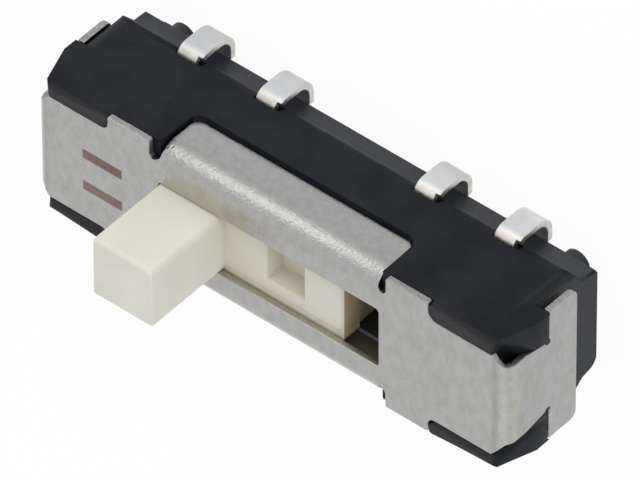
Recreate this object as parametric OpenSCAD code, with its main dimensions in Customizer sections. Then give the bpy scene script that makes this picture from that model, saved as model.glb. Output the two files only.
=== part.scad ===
// Three-position slide switch for surface mounting.
// A black moulded housing carries eight insert-moulded leads, a folded sheet-metal cover
// snaps over it, and an ivory slider runs along X in the cover's slot.
// Frame: the board is the plane z = 0, +Z points away from it along the knob, X is the travel.

/* [Slider] */
// Length of the knob along the travel
knob_l = 1.5; // [1.2:0.05:1.8]
// Width of the knob across the travel
knob_w = 1.46; // [1.2:0.02:1.6]
// Height of the knob's tip above the board
knob_top = 5.36; // [4.2:0.02:7]
// Rounding of the knob's upright edges
knob_r = 0.12; // [0.05:0.01:0.3]
// Travel from one position to the next
travel = 2; // [1.7:0.1:2.3]
// Width of the carriage that runs under the cover
carriage_w = 1.9; // [1.76:0.02:2]
// Height of the carriage's top above the board
carriage_top = 3.1; // [2.95:0.01:3.15]
// Height of the carriage's underside above the board
carriage_low = 2.15; // [2:0.05:2.3]
// Rounding of the carriage's long top edges
carriage_r = 0.07; // [0.03:0.01:0.2]
// Rounding of the carriage's upright corners
carriage_corner_r = 0.2; // [0.1:0.01:0.3]
// Length of each core pocket beside the knob
pocket_l = 0.95; // [0.5:0.05:1.1]
// Width of each core pocket
pocket_w = 1; // [0.6:0.05:1.2]
// Depth of each core pocket
pocket_d = 0.5; // [0.2:0.05:0.6]
// Wall between the knob and each core pocket
pocket_wall = 0.98; // [0.6:0.02:1.1]
// Height of the contact block below the carriage
block_h = 0.28; // [0.2:0.02:0.34]

/* [Housing] */
// Length of the moulded body, without the snap hooks
housing_l = 11.4; // [10.8:0.02:13]
// Width over the two long walls
housing_w = 3.44; // [3.3:0.02:4]
// Gap between the body and the board
standoff = 0.2; // [0.15:0.01:0.3]
// Half the width of the body's bottom edge below the long side's slope
base_half_w = 1.23; // [1.1:0.01:1.4]
// Height of the steep lower band of each long side
band_h = 0.42; // [0.3:0.02:0.5]
// Lean of that band, from its lower to its upper edge
band_lean = 0.09; // [0.02:0.01:0.15]
// Height above the board where the slope meets the long wall
slope_top = 1; // [0.9:0.01:1.1]
// Rounding of the body's upright corners
corner_r = 0.16; // [0.1:0.02:0.5]
// Thickness of the body's end walls below the channel
end_wall = 0.72; // [0.5:0.02:0.9]
// Height of the end walls' top above the board
end_wall_top = 2.08; // [1.9:0.02:2.1]
// Height of the ledges that carry the carriage
ledge_top = 2.65; // [2.5:0.01:2.8]
// Width of those ledges
ledge_w = 0.08; // [0.05:0.01:0.12]
// Diameter of the four round feet
foot_d = 0.6; // [0.4:0.05:0.9]
// Room round a lead in the moulded recess where it leaves the wall
exit_room = 0.06; // [0.03:0.01:0.12]
// Height of the upright face below the slope of each snap hook
hook_face = 0.35; // [0.2:0.01:0.5]
// Distance of the slope's top from the cover's end bend
hook_inset = 0.04; // [0.02:0.01:0.08]
// Distance of the feet from the middle, along the body
foot_x = 4.97; // [4.77:0.02:5.17]
// Distance of the feet from the middle, across the body
foot_y = 0.92; // [0.5:0.02:0.93]

/* [Cover] */
// Height of the cover's outer face above the board
cover_top = 3.38; // [3.33:0.01:3.5]
// Thickness of the sheet
sheet = 0.15; // [0.12:0.01:0.18]
// Inner radius of the cover's end bends
bend_r = 0.2; // [0.12:0.01:0.26]
// Inner radius of the bends over the side flaps
flap_bend_r = 0.33; // [0.2:0.01:0.4]
// Width of the plate between the ears
plate_w = 2.7; // [2.5:0.02:2.8]
// Width over the two side flaps
flap_w = 3.22; // [3.1:0.02:3.3]
// Length of each side flap
flap_l = 5.46; // [4.8:0.02:5.7]
// Height of the flaps' lower edge above the board
flap_low = 2.19; // [2:0.01:2.4]
// Rounding of the flaps' lower corners
flap_r = 0.2; // [0.1:0.02:0.4]
// Width of the relief notch beside each flap
notch_w = 0.22; // [0.16:0.02:0.3]
// Length of the shoulders beside the notches
shoulder_l = 1.07; // [0.8:0.01:1.3]
// Rounding between a shoulder and the plate's edge
shoulder_r = 0.22; // [0.1:0.01:0.3]
// Length over which the plate narrows to the end stems, from the start of the end bends
corner_run = 0.27; // [0.2:0.01:0.3]
// Width of the end stems at the bend
stem_w = 2.06; // [1.9:0.02:2.2]
// Width of the end stems where they meet the snap bars
stem_neck_w = 1.78; // [1.5:0.02:1.84]
// Length of a stem's tapered stretch above its snap bar
stem_taper = 0.7; // [0.5:0.02:0.8]
// Width over the snap bar at the foot of each stem
snap_bar_w = 3.4; // [3:0.02:3.44]
// Height of the snap bars' lower edge above the board
snap_bar_low = 1.3; // [1.2:0.02:1.4]
// Height of the snap bars
snap_bar_h = 0.75; // [0.6:0.01:0.85]
// Radius of the relief hole where a snap bar meets its stem
relief_r = 0.09; // [0.05:0.01:0.12]
// Rounding of the snap bars' lower corners
snap_bar_r = 0.18; // [0.05:0.01:0.25]

/* [Leads] */
// Spacing of the leads; the middle pair is two spacings apart
pitch = 2; // [1.8:0.05:2.1]
// Thickness of the lead strip
lead_t = 0.15; // [0.1:0.01:0.18]
// Width of a lead below its neck
lead_w = 0.58; // [0.52:0.02:0.8]
// Width of a lead where it leaves the wall
neck_w = 0.48; // [0.3:0.02:0.5]
// Distance of a lead's outer face from the wall
lead_out = 0.13; // [0.08:0.01:0.3]
// Distance below the strip's upper face where a lead widens
neck_drop = 0.12; // [0.06:0.01:0.2]
// Inner radius of a lead's bend at the wall
lead_bend = 0.15; // [0.08:0.01:0.2]
// Inner radius of a lead's curl above the board
lead_curl = 0.28; // [0.1:0.01:0.34]
// Length of a lead's tail along the board, from its outer face
lead_tail = 0.7; // [0.5:0.02:0.9]
// Height of the lead strip's upper face, which is also the switch's floor
floor_z = 1.12; // [1.08:0.01:1.2]

/* [Contacts] */
// Length of a throw pad along the travel
pad_l = 1.1; // [0.8:0.05:1.2]
// Width of a throw pad
pad_w = 0.34; // [0.28:0.01:0.4]
// Width of a common rail
rail_w = 0.22; // [0.18:0.01:0.26]
// Gap between the contact lanes, and between the inner lane and the notched rib
lane_gap = 0.06; // [0.05:0.01:0.08]
// Gap between a common rail and the throw pads beside it
pad_gap = 0.13; // [0.1:0.01:0.2]
// Thickness of the brush strip
brush_t = 0.1; // [0.06:0.01:0.12]
// Length of a brush's base along the travel
brush_l = 1.6; // [1.3:0.05:1.7]
// Distance of a brush from the end of the contact block
brush_inset = 0.1; // [0.05:0.01:0.2]
// Width of a brush finger
finger_w = 0.18; // [0.12:0.01:0.2]
// Radius of a finger's rounded tip
finger_tip_r = 0.09; // [0.07:0.01:0.12]
// Distance of the outer finger from the brush's edge
finger_inset = 0.09; // [0.02:0.01:0.12]
// Diameter of the stake that holds each brush
stake_d = 0.24; // [0.16:0.02:0.3]
// Thickness of the detent spring
spring_t = 0.08; // [0.05:0.01:0.1]
// Length of the detent spring
spring_l = 2.2; // [1.8:0.05:2.4]
// Distance of the detent spring from the end of the contact block
spring_inset = 0.3; // [0.1:0.02:0.5]
// Width of the detent spring and of the notched rib under it
spring_w = 0.22; // [0.14:0.02:0.24]
// Height of the notched rib above the floor
rib_h = 0.34; // [0.25:0.01:0.38]
// Radius of a detent notch
notch_r = 0.18; // [0.12:0.01:0.22]
// Height of a notch's centre above the rib
notch_lift = 0.03; // [0.01:0.01:0.06]
// Difference in radius between a notch and the spring's tip
tip_room = 0.05; // [0.03:0.01:0.07]

/* [Fits] */
// Running gap between the carriage and its channel
run_gap = 0.05; // [0.03:0.01:0.08]
// Gap between the knob and the cover's slot
slot_gap = 0.03; // [0.02:0.01:0.06]
// Gap between the cover and the housing's edges
fit_gap = 0.03; // [0.02:0.01:0.05]
// Gap round the side flaps
flap_gap = 0.04; // [0.02:0.01:0.1]
// Room past the carriage's end at the end of its travel, up to the body's end
end_room = 0.02; // [0.01:0.01:0.12]
// Gap between the end stems and the body's ends, on average
stem_gap = 0.1; // [0.04:0.01:0.14]
// Share of that gap by which the body sits towards its first end
end_bias = 0.8; // [0:0.1:0.9]
// Gap under a brush finger or the detent spring
contact_gap = 0.02; // [0.01:0.01:0.04]

/* [Hidden] */
$fn = 48;
// Reach of a cutting shape past the surface that it opens
over = 0.5;

// Heights and ends that the housing and the cover share
half_l = housing_l / 2;
half_w = housing_w / 2;
rim_z = cover_top - sheet;
bend_out = bend_r + sheet;
bend_z = rim_z - bend_r;
stem_in = half_l + stem_gap;
cover_half = stem_in + sheet;
bend_x = stem_in - bend_r;
body_x = -end_bias * stem_gap;
flap_bend_out = flap_bend_r + sheet;
flap_bend_z = rim_z - flap_bend_r;
bend_y = flap_w / 2 - flap_bend_out;
hook_x = cover_half + fit_gap;
snap_bar_high = snap_bar_low + snap_bar_h;
hook_under = snap_bar_high + fit_gap;
ramp_foot = hook_under + hook_face;
hook_y = stem_w / 2 + run_gap;
hook_low_y = stem_neck_w / 2 + run_gap;
ear_y = plate_w / 2 + fit_gap;
shoulder_x = flap_l / 2 + notch_w;
shoulder_end = shoulder_x + shoulder_l;
ear_x = shoulder_end + fit_gap;

// Channel, carriage and contact block
channel_half = carriage_w / 2 + run_gap;
ledge_half = channel_half - ledge_w;
keel_half = ledge_half - run_gap;
wing_low = ledge_top + run_gap;
pit_half = half_l - end_wall;
carriage_half = half_l - travel - end_room;
block_half = pit_half - travel - 2 * run_gap;
block_low = carriage_low - block_h;
rest_x = -travel;
slot_l = knob_l + 2 * travel + 2 * slot_gap;
slot_w = knob_w + 2 * slot_gap;

// Contacts: the brush stands near one end of the block, the detent spring near the other
brush_x = -(block_half - brush_l / 2 - brush_inset);
brush_in = spring_w / 2 + run_gap;
brush_top = block_low;
brush_low = brush_top - brush_t;
rail_y = spring_w / 2 + lane_gap + rail_w / 2;
pad_y = rail_y + rail_w / 2 + pad_gap + pad_w / 2;
finger_y = keel_half - finger_inset - finger_w / 2;
spring_x = block_half - spring_l / 2 - spring_inset;
rib_top = floor_z + rib_h;
notch_z = rib_top + notch_lift;
spring_tip_r = notch_r - tip_room;
spring_tip_z = notch_z - notch_r + contact_gap + spring_tip_r;

// Leads
lead_half_y = half_w + lead_out;
lead_ro = lead_bend + lead_t;
curl_ro = lead_curl + lead_t;
neck_low = floor_z - neck_drop;
lead_in_y = lead_half_y - lead_ro;
lead_xs = [-2 * pitch, -pitch, pitch, 2 * pitch];

function throw_x(k) = rest_x + brush_x + k * travel;

// The edge that a lead's neck and its wide part share
function lead_left(x) = x - neck_w / 2;

// Helpers
module both_x() {
  children();
  mirror([1, 0, 0]) children();
}

module both_y() {
  children();
  mirror([0, 1, 0]) children();
}

module corners() {
  both_x() both_y() children();
}

// A section drawn in (y, z), run along x
module along_x(length) {
  rotate([90, 0, 90]) linear_extrude(length, center = true) children();
}

// An outline drawn in (x, z), run along y
module along_y(width) {
  rotate([90, 0, 0]) linear_extrude(width, center = true) children();
}

// A rectangle given by its two opposite corners
module span(low, high) {
  translate(low) square([high[0] - low[0], high[1] - low[1]]);
}

// A block given by its two opposite corners
module block(low, high) {
  translate(low) cube([high[0] - low[0], high[1] - low[1], high[2] - low[2]]);
}

module rounded_rect(length, width, r) {
  square([length - 2 * r, width], center = true);
  square([length, width - 2 * r], center = true);
  for (sx = [-1, 1], sy = [-1, 1])
    translate([sx * (length / 2 - r), sy * (width / 2 - r)]) circle(r);
}

// A rectangle about the vertical axis whose two lower corners are rounded
module tongue(half, low, high, r) {
  span([-half, low + r], [half, high]);
  span([-half + r, low], [half - r, low + r]);
  for (s = [-1, 1])
    translate([s * (half - r), low + r]) circle(r);
}

// A quarter of a bend's section, in the first quadrant
module quarter_bend(inner, outer) {
  intersection() {
    difference() {
      circle(outer);
      circle(inner);
    }
    square(outer + over);
  }
}

// A strip of even thickness from one point to another, with round ends
module strip(from, to, thick) {
  run = to - from;
  translate(from) rotate(atan2(run[1], run[0])) translate([0, -thick / 2]) square([norm(run), thick]);
  translate(from) circle(thick / 2);
  translate(to) circle(thick / 2);
}

// Housing
module body_section() {
  slope_y = base_half_w + band_lean;
  polygon([
    [-base_half_w, standoff], [base_half_w, standoff],
    [slope_y, standoff + band_h], [half_w, slope_top],
    [half_w, hook_under], [-half_w, hook_under],
    [-half_w, slope_top], [-slope_y, standoff + band_h]
  ]);
}

module body_block() {
  translate([body_x, 0, 0]) {
    intersection() {
      along_x(housing_l + 2 * over) body_section();
      linear_extrude(hook_under + over) rounded_rect(housing_l, housing_w, corner_r);
    }
    block([-half_l, -half_w, hook_under], [half_l, half_w, rim_z]);
  }
}

// Outline of one ear in plan: a strip beside the plate, rounded where it starts
module ear_plan() {
  intersection() {
    span([ear_x, ear_y], [hook_x, half_w]);
    union() {
      span([ear_x + shoulder_r, ear_y - over], [hook_x + over, half_w + over]);
      span([ear_x - over, ear_y + shoulder_r], [hook_x + over, half_w + over]);
      translate([ear_x + shoulder_r, ear_y + shoulder_r]) circle(shoulder_r);
    }
  }
}

// Section of one hook in (y, z): its inner side leans with the stem beside it
module hook_section() {
  polygon([
    [hook_low_y, hook_under], [half_w, hook_under], [half_w, rim_z - fit_gap],
    [hook_y, rim_z - fit_gap], [hook_y, snap_bar_high + stem_taper]
  ]);
}

module ears() {
  corners() {
    translate([0, 0, rim_z - over]) linear_extrude(cover_top - rim_z + over) ear_plan();
    translate([hook_x - over / 2, 0, 0]) along_x(over) hook_section();
  }
}

// The slope on the hooks that spreads the snap bar as the cover is pushed on
module snap_ramps() {
  ramp_top = bend_x - hook_inset;
  both_x() along_y(housing_w + 2 * over) polygon([
    [hook_x, ramp_foot], [ramp_top, cover_top],
    [ramp_top, cover_top + over], [hook_x + over, cover_top + over], [hook_x + over, ramp_foot]
  ]);
}

module channel() {
  block([-pit_half, -ledge_half, floor_z], [pit_half, ledge_half, ledge_top]);
  block([-hook_x, -ledge_half, end_wall_top], [hook_x, ledge_half, ledge_top]);
  block([-hook_x, -channel_half, ledge_top], [hook_x, channel_half, cover_top + over]);
}

// Room for a side flap in the long wall, with the rim eased under the bend
module flap_recess() {
  recess_y = flap_w / 2 - sheet - fit_gap;
  translate([0, recess_y + over, 0])
    along_y(2 * over)
      tongue(flap_l / 2 + flap_gap, flap_low - flap_gap, cover_top + over, flap_r + flap_gap);
  along_x(flap_l + 2 * flap_gap)
    polygon([
      [recess_y + over, flap_bend_z], [recess_y, flap_bend_z],
      [recess_y - flap_bend_r, rim_z], [recess_y - flap_bend_r, rim_z + over], [recess_y + over, rim_z + over]
    ]);
}

// Small moulded recess in the wall where a lead comes out
module lead_exit(x) {
  block(
    [lead_left(x) - exit_room, lead_in_y, floor_z - lead_t - exit_room],
    [lead_left(x) + lead_w + exit_room, half_w + over, floor_z + exit_room]
  );
}

module detent_rib() {
  difference() {
    block(
      [rest_x + spring_x - spring_l / 2, -spring_w / 2, floor_z - lead_t],
      [rest_x + spring_x + 2 * travel + spring_l / 2, spring_w / 2, rib_top]
    );
    for (k = [0:2])
      translate([rest_x + spring_x + k * travel, 0, notch_z])
        rotate([90, 0, 0]) cylinder(h = spring_w + 2 * over, r = notch_r, center = true);
  }
}

module housing() {
  color([0.16, 0.165, 0.185]) {
    difference() {
      union() {
        body_block();
        ears();
      }
      channel();
      snap_ramps();
      both_y() flap_recess();
      both_y() {
        for (x = lead_xs) lead_exit(x);
        for (k = [0:2]) lead_flat(k);
        common_flat();
      }
    }
    intersection() {
      detent_rib();
      block([-pit_half, -half_w, 0], [pit_half, half_w, cover_top]);
    }
    corners() translate([foot_x, foot_y, 0]) cylinder(h = standoff, d = foot_d);
  }
}

// Leads: flat strip in the floor, then a J outside the wall
module neck_span(x, inner_y) {
  span([lead_left(x), inner_y], [lead_left(x) + neck_w, lead_in_y]);
}

// Throw pad and neck of lead k on the +y side
module lead_flat(k) {
  low_x = min(lead_left(lead_xs[k]), throw_x(k) - pad_l / 2);
  high_x = max(lead_left(lead_xs[k]) + neck_w, throw_x(k) + pad_l / 2);
  translate([0, 0, floor_z - lead_t]) linear_extrude(lead_t) {
    span([low_x, pad_y - pad_w / 2], [high_x, pad_y + pad_w / 2]);
    neck_span(lead_xs[k], pad_y);
  }
}

// Common rail and neck on the +y side
module common_flat() {
  rail_low = throw_x(0) - pad_l / 2;
  rail_high = lead_left(lead_xs[3]) + neck_w;
  translate([0, 0, floor_z - lead_t]) linear_extrude(lead_t) {
    span([rail_low, rail_y - rail_w / 2], [rail_high, rail_y + rail_w / 2]);
    neck_span(lead_xs[3], rail_y);
  }
}

// The bend at the wall, in (y, z)
module wall_bend() {
  translate([lead_in_y, floor_z - lead_ro]) quarter_bend(lead_bend, lead_ro);
}

// The J outside the wall: a narrow neck over the bend, then the full width down to the tail on the board
module lead_j(x) {
  translate([lead_left(x) + neck_w / 2, 0, 0]) along_x(neck_w) wall_bend();
  translate([lead_left(x) + lead_w / 2, 0, 0])
    along_x(lead_w) {
      intersection() {
        wall_bend();
        span([0, 0], [lead_half_y + over, neck_low]);
      }
      span([lead_half_y - lead_t, curl_ro], [lead_half_y, floor_z - lead_ro]);
      translate([lead_half_y - curl_ro, curl_ro]) mirror([0, 1]) quarter_bend(lead_curl, curl_ro);
      span([lead_half_y - lead_tail, 0], [lead_half_y - curl_ro, lead_t]);
    }
}

module tin() {
  color([0.86, 0.865, 0.87]) children();
}

module throw_lead(k, side) {
  tin() mirror([0, side < 0 ? 1 : 0, 0]) {
    lead_flat(k);
    lead_j(lead_xs[k]);
  }
}

module common_lead(side) {
  tin() mirror([0, side < 0 ? 1 : 0, 0]) {
    common_flat();
    lead_j(lead_xs[3]);
  }
}

// Cover
module plate_plan() {
  half_plate = plate_w / 2;
  difference() {
    union() {
      square([2 * bend_x, plate_w], center = true);
      square([2 * shoulder_end, housing_w], center = true);
      corners() translate([shoulder_end, half_plate]) difference() {
        square(shoulder_r);
        translate([shoulder_r, shoulder_r]) circle(shoulder_r);
      }
    }
    square([slot_l, slot_w], center = true);
    corners() {
      span([-over, bend_y], [flap_l / 2, half_w + over]);
      span([flap_l / 2, half_plate], [shoulder_x, half_w + over]);
      translate([flap_l / 2 + notch_w / 2, half_plate]) circle(notch_w / 2);
    }
  }
}

module side_flap() {
  along_x(flap_l) translate([bend_y, flap_bend_z]) quarter_bend(flap_bend_r, flap_bend_out);
  translate([0, flap_w / 2 - sheet / 2, 0])
    along_y(sheet) tongue(flap_l / 2, flap_low, flap_bend_z, flap_r);
}

// Stem and snap bar in (y, z), with a relief hole in each inner corner
module stem_outline() {
  taper_z = snap_bar_high + stem_taper;
  root_z = snap_bar_high - snap_bar_h / 2;
  difference() {
    union() {
      both_x() polygon([
        [0, root_z], [stem_neck_w / 2, root_z], [stem_neck_w / 2, snap_bar_high],
        [stem_w / 2, taper_z], [stem_w / 2, bend_z], [0, bend_z]
      ]);
      tongue(snap_bar_w / 2, snap_bar_low, snap_bar_high, snap_bar_r);
    }
    for (s = [-1, 1])
      translate([s * stem_neck_w / 2, snap_bar_high + relief_r / 2]) circle(relief_r);
  }
}

module end_stem() {
  intersection() {
    translate([bend_x, 0, bend_z]) along_y(plate_w) quarter_bend(bend_r, bend_out);
    linear_extrude(cover_top + over) both_y() polygon([
      [bend_x, 0], [cover_half + over, 0], [cover_half + over, stem_w / 2],
      [bend_x + corner_run, stem_w / 2], [bend_x, plate_w / 2]
    ]);
  }
  translate([stem_in + sheet / 2, 0, 0]) along_x(sheet) stem_outline();
}

module cover() {
  color([0.67, 0.67, 0.655]) {
    translate([0, 0, rim_z]) linear_extrude(sheet) plate_plan();
    both_y() side_flap();
    both_x() end_stem();
  }
}

// Slider, drawn about its own middle and then set to the first position
module carriage_section() {
  half = carriage_w / 2;
  span([-keel_half, carriage_low], [keel_half, wing_low + carriage_r]);
  span([-half, wing_low], [half, carriage_top - carriage_r]);
  span([-half + carriage_r, wing_low], [half - carriage_r, carriage_top]);
  for (s = [-1, 1])
    translate([s * (half - carriage_r), carriage_top - carriage_r]) circle(carriage_r);
}

module core_pocket() {
  low_x = knob_l / 2 + pocket_wall;
  block(
    [low_x, -pocket_w / 2, carriage_top - pocket_d],
    [low_x + pocket_l, pocket_w / 2, carriage_top + over]
  );
}

module carriage() {
  difference() {
    intersection() {
      along_x(2 * carriage_half + 2 * over) carriage_section();
      linear_extrude(knob_top) rounded_rect(2 * carriage_half, carriage_w, carriage_corner_r);
    }
    both_x() core_pocket();
  }
  block([-block_half, -keel_half, block_low], [block_half, keel_half, carriage_low + over / 2]);
  both_y() brush_stake(stake_d, block_low);
}

// Upright stake through a brush's base
module brush_stake(d, top) {
  translate([brush_x + brush_l / 4, (brush_in + keel_half) / 2, brush_low])
    cylinder(h = top + over / 2 - brush_low, d = d);
}

module knob() {
  translate([0, 0, carriage_top - over])
    linear_extrude(knob_top - carriage_top + over) rounded_rect(knob_l, knob_w, knob_r);
}

module slider() {
  color([0.86, 0.85, 0.8])
    translate([rest_x, 0, 0]) {
      carriage();
      knob();
    }
}

// Brush: a base under the contact block and two fingers, one on the rail and one on the throws
module finger(y) {
  tip = [brush_x, floor_z + contact_gap + finger_tip_r];
  root = [brush_x + brush_l / 2 - brush_t, brush_low + brush_t / 2];
  translate([0, y, 0]) along_y(finger_w) {
    strip(tip + [0, finger_tip_r - brush_t / 2], root, brush_t);
    translate(tip) circle(finger_tip_r);
  }
}

module brush(side) {
  color([0.83, 0.66, 0.36])
    mirror([0, side < 0 ? 1 : 0, 0])
      translate([rest_x, 0, 0]) {
        difference() {
          block(
            [brush_x - brush_l / 2, brush_in, brush_low],
            [brush_x + brush_l / 2, keel_half, brush_top]
          );
          brush_stake(stake_d, brush_top);
        }
        finger(rail_y);
        finger(finger_y);
      }
}

// Detent spring: a bowed leaf whose middle drops into one of the rib's three notches
module detent_spring() {
  tip = [spring_x, spring_tip_z];
  end_z = block_low - spring_t / 2;
  color([0.72, 0.73, 0.74])
    translate([rest_x, 0, 0])
      along_y(spring_w) {
        translate(tip) circle(spring_tip_r);
        for (s = [-1, 1])
          strip(tip, [spring_x + s * (spring_l - spring_t) / 2, end_z], spring_t);
      }
}

housing();
cover();
slider();
brush(1);  // brush_a
brush(-1);  // brush_b
detent_spring();
throw_lead(0, 1);  // throw_lead_a1
throw_lead(1, 1);  // throw_lead_a2
throw_lead(2, 1);  // throw_lead_a3
common_lead(1);  // common_lead_a
throw_lead(0, -1);  // throw_lead_b1
throw_lead(1, -1);  // throw_lead_b2
throw_lead(2, -1);  // throw_lead_b3
common_lead(-1);  // common_lead_b
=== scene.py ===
# %% [markdown]
# A small slide switch for a circuit board: a black moulded housing, a folded metal cover that snaps over it,
# an ivory slider with a square knob, and eight bent leads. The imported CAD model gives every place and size,
# in metres. This lesson makes the visible pieces again with the soft edges, cut metal and finishes of the
# real thing, and leaves the hidden contacts as they are, with finishes of their own.

# %% Load the frame
import math
import bmesh
import bpy
from mathutils import Matrix, Vector


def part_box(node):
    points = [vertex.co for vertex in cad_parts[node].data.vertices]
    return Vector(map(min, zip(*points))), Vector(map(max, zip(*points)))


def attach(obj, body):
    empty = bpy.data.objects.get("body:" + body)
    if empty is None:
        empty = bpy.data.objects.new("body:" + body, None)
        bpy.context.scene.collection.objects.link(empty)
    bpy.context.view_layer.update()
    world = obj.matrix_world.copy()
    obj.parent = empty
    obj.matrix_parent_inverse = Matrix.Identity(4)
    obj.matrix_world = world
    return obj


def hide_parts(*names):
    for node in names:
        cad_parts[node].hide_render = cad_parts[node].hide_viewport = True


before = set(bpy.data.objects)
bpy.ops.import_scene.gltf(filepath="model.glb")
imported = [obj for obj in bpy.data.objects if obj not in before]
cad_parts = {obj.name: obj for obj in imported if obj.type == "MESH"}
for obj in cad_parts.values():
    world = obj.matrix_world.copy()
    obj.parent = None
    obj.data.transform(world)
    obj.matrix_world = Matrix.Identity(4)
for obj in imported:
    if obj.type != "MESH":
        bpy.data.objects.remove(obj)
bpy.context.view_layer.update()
MM = 0.001
scene = bpy.context.scene
scene.view_settings.view_transform = "Standard"

# %% [markdown]
# The camera comes first, because every later choice is judged through it. The photograph was taken with a
# long lens, from above one end and one long side, and the part lies turned in the picture. Three edge
# directions and the spacing of the leads were measured in the picture, and they give the camera's axes.

# %% Camera
CAM_FAR = 312  # millimetres from the point it looks at
VIEW_WIDE = 12.394  # millimetres across the picture at that point
SENSOR_WIDE = 36
cam_right = Vector((0.76569, -0.00175, -0.64321)).normalized()
cam_up = Vector((-0.44455, 0.72128, -0.53116)).normalized()
cam_back = cam_right.cross(cam_up).normalized()
cam_up = cam_back.cross(cam_right)
cam_aim = Vector((0.2009, 0.0666, 2.0483)) * MM
camera = bpy.data.objects.new("camera", bpy.data.cameras.new("camera"))
scene.collection.objects.link(camera)
turn = Matrix((cam_right, cam_up, cam_back)).transposed().to_4x4()
camera.matrix_world = Matrix.Translation(cam_aim + cam_back * (CAM_FAR * MM)) @ turn
camera.data.sensor_width = SENSOR_WIDE
camera.data.lens = SENSOR_WIDE * CAM_FAR / VIEW_WIDE
camera.data.clip_start = 0.01
scene.camera = camera
print("lens:", round(camera.data.lens), "mm")

# %% [markdown]
# A few helpers for modelling. Lengths are typed in millimetres and scaled once. A vertex is found again by
# its place, because a bevel or a spin renews the mesh around it.

# %% Modelling helpers
TINY = 1e-4  # millimetres, less than any real gap


def at(x, y, z):
    return Vector((x, y, z)) * MM


def corner(bm, x, y, z):
    place = at(x, y, z)
    return min(bm.verts, key=lambda v: (v.co - place).length)


def edges_where(bm, test):
    return [e for e in bm.edges if all(test(v.co / MM) for v in e.verts)]


def open_edges(bm):
    return [e for e in bm.edges if e.is_boundary]


def polygon(bm, points, known=0):
    verts = [corner(bm, *p) for p in points[:known]]
    verts += [bm.verts.new(at(*p)) for p in points[known:]]
    bm.faces.new(verts)


def round_corner(bm, place, radius, steps):
    bmesh.ops.bevel(bm, geom=[corner(bm, *place)], offset=radius * MM, offset_type="OFFSET", segments=steps,
                    profile=0.5, affect="VERTICES", material=-1, clamp_overlap=False)


def bend(bm, edges, centre, axis, angle, steps):
    parts = list(edges) + list(dict.fromkeys(v for e in edges for v in e.verts))
    done = bmesh.ops.spin(bm, geom=parts, cent=at(*centre), axis=axis, angle=math.radians(angle), steps=steps)
    return [g for g in done["geom_last"] if isinstance(g, bmesh.types.BMEdge)]


def pull(bm, edges, shift):
    done = bmesh.ops.extrude_edge_only(bm, edges=edges)
    verts = [g for g in done["geom"] if isinstance(g, bmesh.types.BMVert)]
    bmesh.ops.translate(bm, verts=verts, vec=at(*shift))
    return [g for g in done["geom"] if isinstance(g, bmesh.types.BMEdge) and all(v in verts for v in g.verts)]


def cut_across(bm, place, normal, **more):
    everything = bm.verts[:] + bm.edges[:] + bm.faces[:]
    bmesh.ops.bisect_plane(bm, geom=everything, plane_co=at(*place), plane_no=normal, **more)


def face_upwards(bm, guide):
    bmesh.ops.recalc_face_normals(bm, faces=bm.faces[:])
    if max(bm.faces, key=guide).normal.z < 0:
        bmesh.ops.reverse_faces(bm, faces=bm.faces[:])


def piece(name, bm, node, body="base"):
    mesh = bpy.data.meshes.new(name)
    bm.to_mesh(mesh)
    bm.free()
    for face in mesh.polygons:
        face.use_smooth = True
    made = bpy.data.objects.new(name, mesh)
    scene.collection.objects.link(made)
    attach(made, body)
    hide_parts(node)
    return made


print("helpers ready")

# %% [markdown]
# The cover is one blank of thin sheet, folded. It could be cut from a solid, but then its edges would look
# moulded. So it is folded here as a press folds it: the outer face of one quarter is drawn flat, its edges
# are spun round the bends, the flap and the stem hang from them, and two mirrors give the rest.

# %% Cover: one quarter of the plate
TOP = 3.38  # upper face of the plate above the board
PLATE_Y = 1.35  # half the plate's width at its ends
WALL_Y = 1.72  # half its width over the shoulders, flush with the housing
SHOULDER_X = 4.02
NOTCH_X = 2.95  # outer side of the notch beside the flap
NOTCH_Y = 1.28  # inner end of the notch
FLAP_X = 2.73
FLAP_Y = 1.61
FLAP_BEND = 0.48
END_X = 5.95
END_BEND = 0.35
SLOT_X = 2.78
SLOT_Y = 0.76
bend_x = END_X - END_BEND
bend_y = FLAP_Y - FLAP_BEND

sheet = bmesh.new()
outline = [
    (SLOT_X, 0), (bend_x, 0), (bend_x, PLATE_Y), (SHOULDER_X, PLATE_Y), (SHOULDER_X, WALL_Y),
    (NOTCH_X, WALL_Y), (NOTCH_X, NOTCH_Y), (FLAP_X, NOTCH_Y), (FLAP_X, bend_y), (0, bend_y),
    (0, SLOT_Y), (SLOT_X, SLOT_Y),
]
polygon(sheet, [(x, y, TOP) for x, y in outline])
round_corner(sheet, (SHOULDER_X, PLATE_Y, TOP), 0.17, 8)
round_corner(sheet, (NOTCH_X, NOTCH_Y, TOP), 0.11, 6)
round_corner(sheet, (SHOULDER_X, WALL_Y, TOP), 0.05, 3)
round_corner(sheet, (NOTCH_X, WALL_Y, TOP), 0.05, 3)
round_corner(sheet, (SLOT_X, SLOT_Y, TOP), 0.08, 5)
print("plate quarter:", len(sheet.verts), "vertices")

# %% Cover: side flap
FLAP_LOW = 2.19  # lower edge of the flap
BEND_STEPS = 14
bend_line = edges_where(sheet, lambda c: abs(c.y - bend_y) < TINY)
flap_edge = bend(sheet, bend_line, (0, bend_y, TOP - FLAP_BEND), (1, 0, 0), -90, BEND_STEPS)
pull(sheet, flap_edge, (0, 0, FLAP_LOW - (TOP - FLAP_BEND)))
round_corner(sheet, (FLAP_X, FLAP_Y, FLAP_LOW), 0.2, 8)
print("flap:", len(sheet.faces), "faces so far")

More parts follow.
